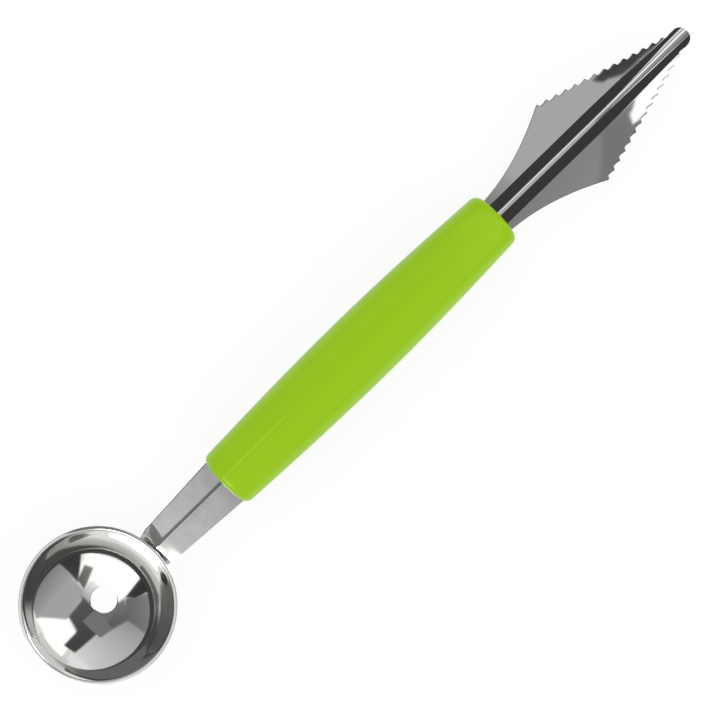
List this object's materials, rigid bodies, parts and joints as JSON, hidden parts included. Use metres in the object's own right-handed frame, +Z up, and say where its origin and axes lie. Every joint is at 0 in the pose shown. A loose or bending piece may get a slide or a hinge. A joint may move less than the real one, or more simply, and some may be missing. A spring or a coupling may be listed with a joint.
{
  "type": "melon scoop",
  "caption": "Double-ended melon scoop: a round steel bowl with a drain hole and a folded, saw-toothed carving blade on a barrel-shaped plastic grip.",
  "frame": {"origin": "under the middle of the tool's length, on its centre plane, level with the lowest point of the bowl", "axes": "+X along the tool from the bowl to the blade's tip, +Y across it, +Z up, out of the bowl's mouth"},
  "size_m": [0.2198, 0.039, 0.0186],
  "materials": {
    "handle_plastic": "lime green moulded polypropylene, satin",
    "polished_steel": "mirror-polished stainless steel sheet",
    "satin_steel": "tumbled stainless steel sheet, satin"
  },
  "bodies": {
    "root": {"handle": "handle_plastic", "scoop_bowl": "polished_steel", "scoop_neck": "satin_steel", "carving_blade": "polished_steel"}
  },
  "joints": []
}
